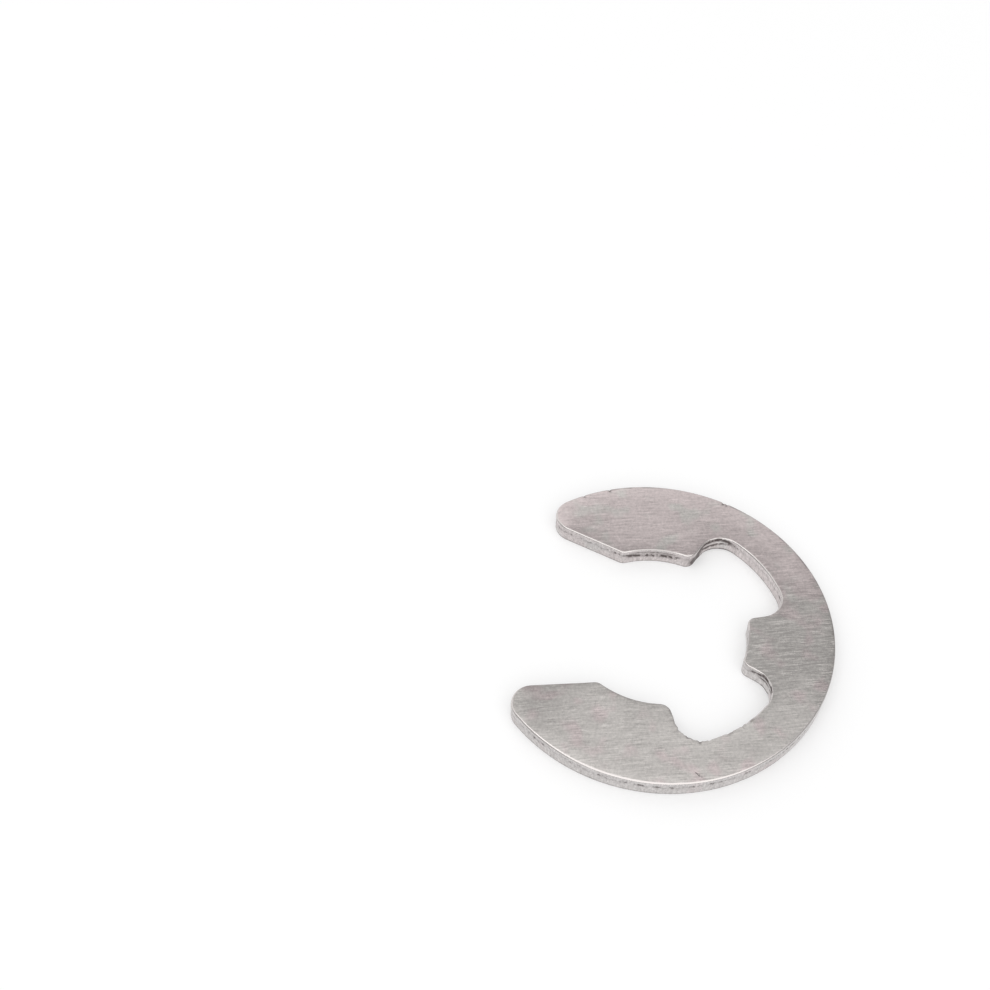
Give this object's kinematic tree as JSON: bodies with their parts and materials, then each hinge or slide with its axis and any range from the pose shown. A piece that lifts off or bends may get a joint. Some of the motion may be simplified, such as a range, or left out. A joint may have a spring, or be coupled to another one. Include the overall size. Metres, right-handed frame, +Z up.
{
  "type": "e clip",
  "caption": "Flat stamped E-shaped retaining ring in stainless steel, pushed sideways into a shaft groove and held there by three grip prongs.",
  "frame": {"origin": "centre of the grip circle, on the lower face", "axes": "+Z up through the thickness along the shaft's axis, +Y from the mouth towards the middle prong, +X to the right prong"},
  "size_m": [0.029, 0.0247, 0.0016],
  "materials": {
    "satin_stainless": "satin brushed faces, sheared edges"
  },
  "bodies": {
    "root": {"e_clip": "satin_stainless"}
  },
  "joints": []
}
